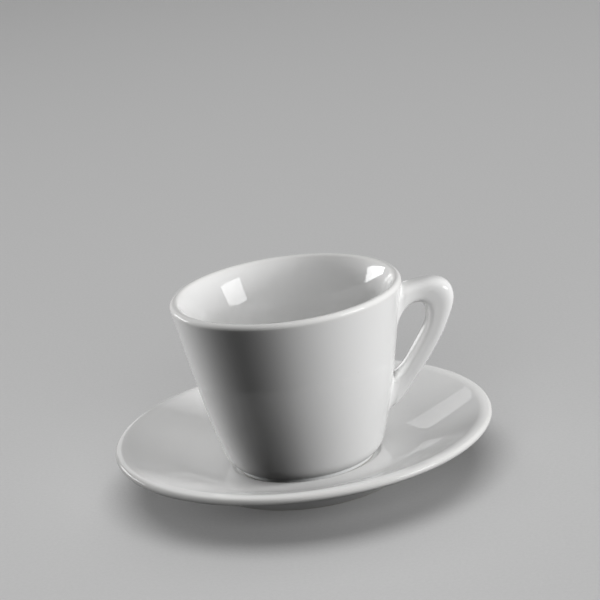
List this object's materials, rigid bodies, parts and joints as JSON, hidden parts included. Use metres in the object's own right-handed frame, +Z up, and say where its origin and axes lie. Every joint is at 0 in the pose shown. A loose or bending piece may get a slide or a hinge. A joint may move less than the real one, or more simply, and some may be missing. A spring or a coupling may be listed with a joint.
{
  "type": "cappuccino cup with saucer",
  "caption": "White glazed porcelain cappuccino cup with a conical wall, foot ring and strap handle, standing in the recessed well of its wide flared saucer.",
  "frame": {"origin": "centre of the saucer's foot ring, on the surface that the set stands on", "axes": "+Z up along the common axis of cup and saucer, +X along the handle"},
  "size_m": [0.152, 0.152, 0.0778],
  "materials": {
    "saucer_glaze": "clear gloss glaze over white porcelain, unglazed foot ring",
    "cup_glaze": "clear gloss glaze over white porcelain, unglazed foot ring",
    "slip": "sponged slip under the same clear gloss glaze"
  },
  "bodies": {
    "saucer": {"saucer": "saucer_glaze"},
    "cup": {"cup_body": "cup_glaze", "handle": "cup_glaze", "upper_slip_joint": "slip", "lower_slip_joint": "slip"}
  },
  "joints": [
    {"name": "cup_lift", "type": "slide", "parent": "saucer", "child": "cup", "axis": [0, 0, 1], "range_m": [0, 0.1]}
  ]
}
